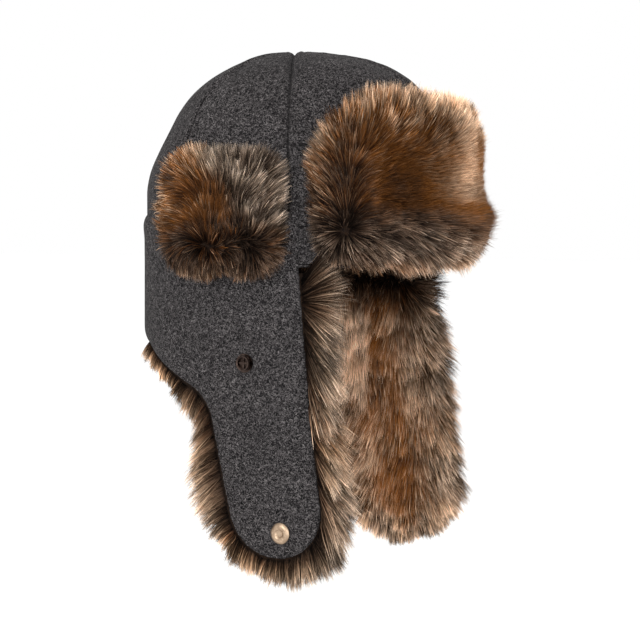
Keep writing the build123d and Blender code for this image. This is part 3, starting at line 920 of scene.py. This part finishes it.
def fur_object(name, line, stand, looks, width):
    """Tapered ribbons along the centre lines, flat side out."""
    n = len(line)
    ahead = np.gradient(line, axis=1)
    facing = unit(stand + rng.normal(0, 0.55, (n, 3)))
    side = unit(np.cross(ahead, facing[:, None, :]))
    wide = width * rng.uniform(0.6, 1.25, n)[:, None] * np.array((0.75, 1.0, 0.85, 0.55))
    left = line[:, :SEGMENTS] - side[:, :SEGMENTS] * wide[..., None] / 2
    right = line[:, :SEGMENTS] + side[:, :SEGMENTS] * wide[..., None] / 2
    rows = np.stack((left, right), axis=2).reshape(n, 2 * SEGMENTS, 3)
    points = np.concatenate((rows, line[:, SEGMENTS:]), axis=1)
    per = 2 * SEGMENTS + 1
    base = np.arange(n)[:, None] * per
    quad = np.array((0, 1, 3, 2))
    quads = np.concatenate([base + quad + 2 * k for k in range(SEGMENTS - 1)])
    tips = base + np.array((2 * SEGMENTS - 2, 2 * SEGMENTS - 1, 2 * SEGMENTS))
    share = np.array([k / SEGMENTS for k in range(SEGMENTS) for _ in (0, 1)] + [1.0])
    along = np.broadcast_to(share, (n, per)).ravel()
    cells = ceil(n ** 0.5)
    cell = np.arange(n)
    u_in = np.array([0.15, 0.85] * SEGMENTS + [0.5])
    u = ((cell % cells)[:, None] + u_in) / cells
    v = ((cell // cells)[:, None] + 0.1 + 0.8 * share) / cells
    uv = np.stack((u.ravel(), v.ravel()), axis=1)
    attributes = [("along", along)]
    for k, look in enumerate(("patch", "tone", "grey")):
        attributes.append((look, np.repeat(looks[:, k], per)))
    return mesh_object(name, points.reshape(-1, 3), [quads, tips], attributes, uv)


def face_spots(outline, count):
    """Random spots inside an outline."""
    low, high = outline.min(axis=0), outline.max(axis=0)
    found = np.empty((0, 2))
    while len(found) < count:
        tries = rng.uniform(low, high, (count, 2))
        found = np.concatenate((found, tries[within(tries, outline)]))
    return found[:count, 0], found[:count, 1]


def grow_fur(name, coat, batches, split=None):
    """Grows a coat's hairs as pieces of at most PIECE_HAIRS; split tells a hair's skirt piece by its root."""
    grown = [hair_arrays(coat, place, u, v) for place, u, v in batches]
    line, stand, looks = (np.concatenate(arrays) for arrays in zip(*grown))
    group = split(line[:, 0]) if split else np.zeros(len(line), int)
    made = []
    for g in np.unique(group):
        label = f"{PIECES[g]}_{name}" if split else name
        members = np.flatnonzero(group == g)
        rng.shuffle(members)
        for k, part in enumerate(np.array_split(members, ceil(len(members) / PIECE_HAIRS))):
            obj = fur_object(f"{label}_{k + 1}", line[part], stand[part], looks[part], coat["width"])
            made.append((int(g), obj))
    return made


def rim_place(coat, walk, fields):
    """Roots on the rounded rim of a pelt: u walks along the outline, v goes round from back to front."""
    radius = coat["radius"]

    def place(u, v):
        spot, out2 = walk.at(u)
        angle = np.clip(v / radius, -0.5 * pi, 0.5 * pi)
        rimward = np.cos(angle)
        a, b = (spot - out2 * (radius * (1 - rimward))[:, None]).T
        root = np.stack((a, b, coat["middle"] + radius * np.sin(angle)), axis=1)
        out = np.stack((out2[:, 0] * rimward, out2[:, 1] * rimward, np.sin(angle)), axis=1)
        return root, out, *fields(a, b, np.zeros(len(u)), out2, rimward)
    return place


def face_place(coat, outline, depth_of, fields):
    """Roots on the open face of a pelt."""
    def place(u, v):
        distance, out2 = nearest_edge(np.stack((u, v), axis=1), outline)
        root = np.stack((u, v, depth_of(distance)), axis=1)
        lean = np.clip(1 - distance / coat["rim"], 0, 1)[:, None]
        out = unit(np.concatenate((out2 * lean, np.ones((len(u), 1))), axis=1))
        return root, out, *fields(u, v, distance, out2, np.zeros(len(u)))
    return place


def flow3(a, b, out2, outward):
    """Lie of the coat from a direction (a, b) and a pull out over the edge."""
    f = np.stack((a, b), axis=1) + out2 * outward[:, None]
    return np.concatenate((f, np.zeros((len(f), 1))), axis=1)


def batches_for(coat, outline, fields, depth_of):
    """A coat's hairs on the face of its pelt and on its rim, each as a place function and spots."""
    walk = Walk(outline)
    face = (face_place(coat, outline, depth_of, fields), *face_spots(outline, coat["faces"]))
    along = rng.uniform(0, walk.length, coat["rims"])
    round_rim = rng.uniform(coat["back"] * pi * coat["radius"], 0.5 * pi * coat["radius"], coat["rims"])
    return face, (rim_place(coat, walk, fields), along, round_rim)


def fur_panel(label, suffix, coat, outline, fields, body, ends=None):
    """The fur of a panel: its pelt, then its hairs."""
    full, rim = coat["full"], coat["rim"]
    panel(f"{label}_pelt{suffix}", coat["surface"], outline, full, coat["voxel"], pillow_shape(full, rim),
          PELT, body, [f"{label}_fur{suffix}"], ends)
    depth_of = lambda d: full * quarter_round(d, rim) - coat["sunk"]
    for _, obj in grow_fur(f"{label}_fur_hair{suffix}", coat, batches_for(coat, outline, fields, depth_of)):
        dress(obj, HAIR, body, ends)


def spot_on(a, b, at, size):
    """1 at a place of a panel, falling off over its size."""
    return bell(a, at[0], size[0]) * bell(b, at[1], size[1])


# Each function of fields below turns places on a panel into the coat there, and counts in millimetres:
# lie, lift off the pelt, length, colour (0 dark, 0.5 caramel, 1 beige), how far the locks part, shade, grey.
# --- visor ---
VISOR_ARC = radians(55) * HALF_LENGTH
VISOR_TOP = 92 * MM
VISOR_CLOTH = 2.2 * MM
VISOR_ENDS = ((0, -0.095, 1 * MM), (0, -0.095, 26 * MM))


def visor_fields(a, b, distance, out2, rimward):
    """Brushed smooth and caramel in the middle; long and parted at the ends and along the bottom."""
    a, b = a / MM, b / MM
    wave = lambda size, seed: noise2(a, b, size, seed)
    edge = np.clip(1 - distance / (24 * MM), 0, 1)
    low = over(b + 0.08 * a - 9 * wave(24, 47), 34, -20)
    end = over(np.abs(a), 77, 18)
    near = end * (a < 0)
    right = over(a, -45, 40)
    velvet = 1 - np.maximum.reduce((edge, low, end))
    bulge = spot_on(a, b, (8, 20), (46, 17))
    rise = 0.42 - 0.6 * low * (1 - 0.75 * right) + 0.25 * wave(20, 45) + 0.75 * near * (1 - low)
    pull = 1.35 * edge ** 1.5 * (1 - low * (0.45 + 0.3 * right)) * (1 - 0.45 * near * (1 - low))
    flow = flow3(0.85 + 0.35 * wave(38, 41) - near, rise, out2, pull)
    lift = 0.42 + 0.42 * velvet + 0.14 * wave(15, 42) + 0.15 * rimward + 0.15 * bulge
    length = 19.5 + 3 * wave(18, 43) + 2 * edge - 5 * low - 6.5 * velvet + 14 * bulge - 4 * near
    length -= 4 * spot_on(a, b, (30, 95), (42, 16)) + 3 * spot_on(a, b, (35, 6), (30, 9))
    length += 5 * low * edge * (1 - near) * noise2(a, 0.2 * b, 6, 49)  # uneven wisps along the bottom
    caramel = over(b, 26, 14) * over(a, -90, 18)
    tawny = over(a, -62, 62) * over(b, 22, 22)
    far = over(a, -5, 25)
    dusk = spot_on(a, b, (-26, 82), (20, 10)) + 0.6 * spot_on(a, b, (-52, 48), (15, 14))
    patch = 0.22 + 0.28 * caramel + (0.28 - 0.08 * far) * tawny - 0.2 * dusk + 0.1 * wave(22, 44)
    patch += 0.26 * edge * (1 - low) * (1 - 0.6 * over(a, -45, -30)) + 0.3 * edge * low * right
    patch += 0.4 * spot_on(a, b, (-94, 66), (8, 9)) + 0.3 * over(b, 13, -6) * (1 - near)
    shade = (0.29 - 0.19 * far) * tawny - 0.42 * dusk - 0.08 * velvet - 0.14 * low * (1 - edge) - 0.26 * near
    shade += 0.16 * wave(15, 46) + 0.34 * low * noise2(0.5 * a, b, 4.5, 48)
    grey = np.maximum(low * over(b, 6, 8), 0.7 * near * (1 - 0.8 * edge))
    return flow, lift, length * MM, patch, 1 - 0.9 * velvet, shade, grey


def make_visor():
    backing = panel_outline((VISOR_ARC, VISOR_ARC), 2 * MM, VISOR_TOP, 28 * MM, 3 * MM)
    panel("visor_wool_back", band_surface(-pi / 2, upright(0.9 * MM)), backing, VISOR_CLOTH, 1.15 * MM,
          cloth_shape(VISOR_CLOTH), WOOL, "visor", ["visor_backing"], VISOR_ENDS)
    half = VISOR_ARC - 5 * MM
    outline = panel_outline((half, half), 9 * MM, VISOR_TOP + 1 * MM, 38 * MM, 8 * MM)
    coat = {
        "surface": band_surface(-pi / 2, upright(4.6 * MM)), "full": 11 * MM, "rim": 13 * MM,
        "voxel": 1.6 * MM, "sunk": 0.8 * MM, "radius": 4.5 * MM, "middle": 4.2 * MM, "back": -0.35,
        "faces": 72000, "rims": 36000, "width": 0.33 * MM, "droop": 0.05, "stray": 0.15, "patchy": 0.26,
        "locks": ((5.6 * MM, 0.5), (2.3 * MM, 0.5), (1.0 * MM, 0.72)),
    }
    fur_panel("visor", "", coat, outline, visor_fields, "visor", VISOR_ENDS)


# --- side cuffs ---
CUFF_TOP = 62 * MM
CUFF_CLOTH = 1.6 * MM
CUFF_AHEAD, CUFF_BEHIND = radians(21) * HALF_LENGTH, radians(19) * HALF_LENGTH


def cuff_fields(a, b, distance, out2, rimward):
    """Caramel behind, streaked grey-beige in front, a dark band low down and a caramel fringe below it."""
    a, b = a / MM, b / MM
    wave = lambda size, seed: noise2(a, b, size, seed)
    edge = np.clip(1 - distance / (18 * MM), 0, 1)
    low = over(b - 6 * wave(17, 58), 17, -13)
    back = over(a, 4, -30)
    hem = over(b, 5, -6)
    band = over(b, 25, -8) * over(b, 5, 6)
    rear = spot_on(a, b, (-12, 34), (20, 24))
    front = over(a + 0.6 * b, 22, 14) * over(b, 10, 12)
    streaks = noise2(2.5 * a, b, 9, 56)
    across = 0.15 + 0.5 * low - 0.95 * back + 0.3 * (1 - low) * wave(22, 51)
    flow = flow3(across, 0.75 - 0.5 * back - 1.5 * low + 0.2 * wave(15, 55), out2, edge ** 1.3)
    lift = 0.42 - 0.12 * back + 0.14 * wave(12, 52) + 0.12 * rimward
    length = 14.5 + 3 * wave(14, 53) + 1.5 * edge - 3 * low
    patch = 0.16 + 0.38 * rear + (0.32 + 0.6 * streaks) * front + 0.3 * edge * (1 - low) + 0.12 * wave(14, 54)
    patch += 0.45 * hem - 0.1 * low - 0.2 * band
    shade = (0.14 + 0.12 * front) * wave(9, 57) - 0.06 - 0.1 * low - 0.14 * band - 0.26 * front
    grey = np.clip(front + 0.6 * low - 0.6 * hem, 0, 1)
    return flow, lift, length * MM, patch, 0.4 + 0.6 * np.maximum(edge, front), shade, grey


def make_side_cuffs():
    for name, side in SIDES.items():
        middle = 0.0 if side > 0 else pi
        surface = band_surface(middle, leaning, -side)  # across runs forwards on both sides
        backing = panel_outline((CUFF_BEHIND, CUFF_AHEAD), 1 * MM, CUFF_TOP, 12 * MM, 3 * MM)
        panel(f"side_cuff_wool_{name}", surface, backing, CUFF_CLOTH, 0.9 * MM, cloth_shape(CUFF_CLOTH), WOOL,
              "root", [f"side_cuff_backing_{name}"])
        half_width = (CUFF_BEHIND + 1 * MM, CUFF_AHEAD - 7 * MM)
        outline = panel_outline(half_width, 2 * MM, CUFF_TOP, 14 * MM, 8 * MM)
        coat = {
            "surface": lambda a, b, d, s=surface: s(a, b, d + CUFF_CLOTH + 0.1 * MM), "full": 6.5 * MM,
            "rim": 9 * MM, "voxel": 1.3 * MM, "sunk": 0.7 * MM, "radius": 3.2 * MM, "middle": 2.6 * MM,
            "back": -0.3, "faces": 21000, "rims": 13000, "width": 0.32 * MM, "droop": 0.08, "stray": 0.16,
            "patchy": 0.3, "locks": ((4.8 * MM, 0.5), (2.0 * MM, 0.5), (0.95 * MM, 0.72)),
        }
        fur_panel("side_cuff", f"_{name}", coat, outline, cuff_fields, "root")


# --- fur of the neck piece and ear flaps ---
FUR_TOP = -5 * MM  # the fur starts here, under the crown
FUR_PAST_WOOL = 3 * MM


def skirt_fields(a, b, distance, out2, rimward):
    """Hanging coat, brushed down and out over the edges, caramel down the middle of each flap, with painted
    light lifting the far flap and painted shade under the crown.
    """
    side = np.sign(a)
    forward = (np.abs(a) - SIDE_RUN) / MM  # ahead of the skirt's widest point
    a, b = a / MM, b / MM
    wave = lambda size, seed: noise2(a, b, size, seed)
    edge = np.clip(1 - distance / (26 * MM), 0, 1)
    inside = 1 - smooth(edge * 3)
    bottom = np.clip(-out2[:, 1], 0, 1) * edge
    ahead = np.clip(out2[:, 0] * side, 0, 1) * edge
    aft = np.clip(-out2[:, 0] * side, 0, 1) * edge
    tufts = np.clip(aft + bottom, 0, 1)
    near = ahead * (side < 0) * (1 - 0.6 * rimward)
    behind = over(forward, -18, -30)
    low = over(b, -60, -90)
    high = over(b, -34, 26)
    corner = over(b, -145, -35)
    swirl = wave(36, 61)
    down = 0.1 * swirl - 0.8 - 0.45 * ahead - 0.5 * near + (1.5 * ahead + 0.9 * near) * high
    pull = (1.35 - 0.3 * ahead - 0.25 * near) * edge ** 1.2
    flow = flow3(side * (0.05 + 0.3 * swirl), down, out2, pull)
    # tufts curl out over the wool, but the front fringe stays behind the wool's edge
    flow[:, 2] -= 0.3 * rimward * (1 - high) * (1 - ahead) * smooth(0.5 + wave(12, 67))
    lift = 0.36 + 0.13 * wave(14, 62) + 0.1 * rimward - 0.17 * inside
    lift -= 0.3 * ahead * (1 - rimward) * (rimward > 0)
    length = 14 + 6.5 * inside + 2.5 * wave(17, 63) + 8.5 * edge ** 2 * (1 - 0.5 * corner)
    length += 6.5 * ahead * (1 - 1.3 * corner * (side > 0)) - 12 * edge * behind
    length -= (3 + 2 * aft) * bottom * (1 - behind)
    length += 6 * aft * bell(b, -135, 24) + 4.5 * tufts * wave(5.5, 71)
    length = length * (1 - 0.4 * high * (1 - ahead)) + 3 * high * ahead + 2 * near
    centre = bell(forward, 24 + 16 * low, 17) * over(b, -30, -40)
    ashy = over(forward, 16, -12) * inside
    # the top of the fur, under the crown, is darkened in colour and brightness below: partly darker hair,
    # partly painted shade; less so on the near fringe
    dark_and_shaded_under_crown = high * (1 - 0.8 * near)
    bands = noise2(a, 0.16 * b, 7, 65)  # long patches of colour that hang with the coat
    patch = 0.7 + 0.04 * low - 0.2 * centre + 0.02 * inside + 0.25 * ashy + 0.1 * edge ** 2 + 0.3 * bottom
    patch += 0.24 * bands + 0.2 * noise2(a, 0.6 * b, 22, 64) + 0.05 * wave(8, 66) - 0.5 * dark_and_shaded_under_crown
    # painted light: hairs in the middle of each flap and of the neck piece, and on the far (left) flap's
    # face, are brightened to lift the far flap out of the shade cast by the visor and the near flap; the aft
    # and edge terms are the coat's own colour
    shade = 0.48 * inside + 0.28 * (1 - inside) * (side > 0) * (1 - rimward) + 0.1 * aft - 0.06 * edge
    shade += (0.14 + 0.14 * edge) * wave(13, 68) + 0.32 * tufts * wave(4.5, 72) - 0.5 * dark_and_shaded_under_crown
    shade += near * (0.25 * wave(7, 70) - 0.24 - 0.2 * high)
    grey = np.clip(0.15 + 0.55 * edge + 0.6 * ashy, 0, 1) * smooth(0.6 + noise2(a, 0.4 * b, 14, 69))
    return flow, lift, length * MM, patch, 0.55 + 0.45 * edge, shade, grey


def make_skirt_fur():
    full, rim = 5.5 * MM, 6 * MM
    outline = skirt_outline(FUR_TOP, FUR_PAST_WOOL)
    surface = lambda a, b, d: skirt_surface(a, b, d + 2.9 * MM)
    flat, faces = plate(outline, full, 1.7 * MM)
    distance, _ = nearest_edge(flat[:, :2], outline)
    rough = skirt_outer(flat[:, 0], flat[:, 1])
    depth = full / 2 + (flat[:, 2] - full / 2) * quarter_round(distance, rim) * lumps(rough, 12)
    points = surface(flat[:, 0], flat[:, 1], depth)
    nodes = ("neck_fur", "ear_flap_fur_left", "ear_flap_fur_right")
    split_skirt("pelt", points, faces, PELT, nodes)

    coat = {
        "surface": surface, "rim": rim, "radius": 3 * MM, "middle": full / 2, "back": -0.42,
        "faces": 150000, "rims": 100000, "width": 0.36 * MM, "droop": 0.22, "stray": 0.17, "patchy": 0.3,
        "locks": ((5.4 * MM, 0.45), (2.2 * MM, 0.5), (1.05 * MM, 0.72)),
    }
    depth_of = lambda d: full - 0.6 * MM - 1.5 * MM * (1 - np.clip(d / rim, 0, 1)) ** 2
    face, (place, u, v) = batches_for(coat, outline, skirt_fields, depth_of)
    # no rim hairs along the top edge, which is sewn in under the crown
    low_enough = Walk(outline).at(u)[0][:, 1] < FUR_TOP - 3 * MM
    batches = [face, (place, u[low_enough], v[low_enough])]
    for piece, obj in grow_fur("fur_hair", coat, batches, skirt_piece):
        dress_skirt(obj, HAIR, piece)


# --- CAD pieces that keep their shape ---
def dress_cad():
    parts = {"tip_snap_cap": CAP_BRASS, "tip_snap_socket": SOCKET_BRASS, "mid_snap_stud": STUD_BRASS,
             "mid_snap_eyelet": STUD_BRASS}
    for name in SIDES:
        for part, material in parts.items():
            repaint(f"{part}_{name}", material)
    repaint("visor_stiffener", STIFFENER)


def repaint(node, material):
    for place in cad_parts[node].material_slots:
        place.link = "OBJECT"
        place.material = material


# --- stage ---
FLOOR_HALF_WIDTH = 12.0
FLOOR_DROP = 0.12
VIEW_DISTANCE = 1.300
VIEW_AZIMUTH, VIEW_ELEVATION = -60, 3.2
VIEW_TARGET = Vector((8.2, -14.1, -40.5)) * MM
LENS, SENSOR = 107.5, 36
LAMP_TARGET = (0, 0, -0.03)
LAMPS = {  # azimuth, elevation, distance, size, power
    "key": (-88, 26, 1.7, 1.2, 17),
    "fill": (-32, 4, 1.8, 1.4, 13),
    "rim": (130, 35, 1.8, 1.0, 2),
}


def aim(obj, target):
    obj.rotation_euler = (Vector(target) - obj.location).to_track_quat("-Z", "Y").to_euler()


def around(azimuth, elevation, distance):
    a, e = radians(azimuth), radians(elevation)
    return Vector((sin(a) * cos(e), -cos(a) * cos(e), sin(e))) * distance


def make_floor():
    z = cad_box[0][2] - FLOOR_DROP
    corners = [(x * FLOOR_HALF_WIDTH, y * FLOOR_HALF_WIDTH, z) for y in (-1, 1) for x in (-1, 1)]
    floor = mesh_object("floor", np.array(corners), [np.array([[0, 1, 3, 2]])])
    n = Nodes("pale_floor")
    shade = n.ramp(n.noise(n.place, 3, 2, 0.5), ((0.3, 0.86), (0.7, 0.9)))
    floor.data.materials.append(n.finish(shade, 0.9, Emission_Color=(1, 1, 1), Emission_Strength=0.14))


def make_lights():
    world = bpy.data.worlds.new("studio")
    world.use_nodes = True
    background = world.node_tree.nodes["Background"]
    background.inputs["Color"].default_value = (1, 1, 1, 1)
    background.inputs["Strength"].default_value = 1.0
    bpy.context.scene.world = world
    for name, (azimuth, elevation, distance, size, power) in LAMPS.items():
        lamp = bpy.data.lights.new(name, "AREA")
        lamp.shape, lamp.size, lamp.energy = "DISK", size, power
        obj = new_object(name, lamp)
        obj.location = around(azimuth, elevation, distance)
        aim(obj, LAMP_TARGET)


def make_camera():
    bpy.context.scene.view_settings.view_transform = "Standard"
    lens = bpy.data.cameras.new("camera")
    lens.lens, lens.sensor_width = LENS, SENSOR
    camera = new_object("camera", lens)
    camera.location = VIEW_TARGET + around(VIEW_AZIMUTH, VIEW_ELEVATION, VIEW_DISTANCE)
    aim(camera, VIEW_TARGET)
    bpy.context.scene.camera = camera


make_floor()
make_lights()
make_camera()
make_crown()
make_visor()
make_side_cuffs()
make_skirt_wool()
make_skirt_fur()
dress_cad()
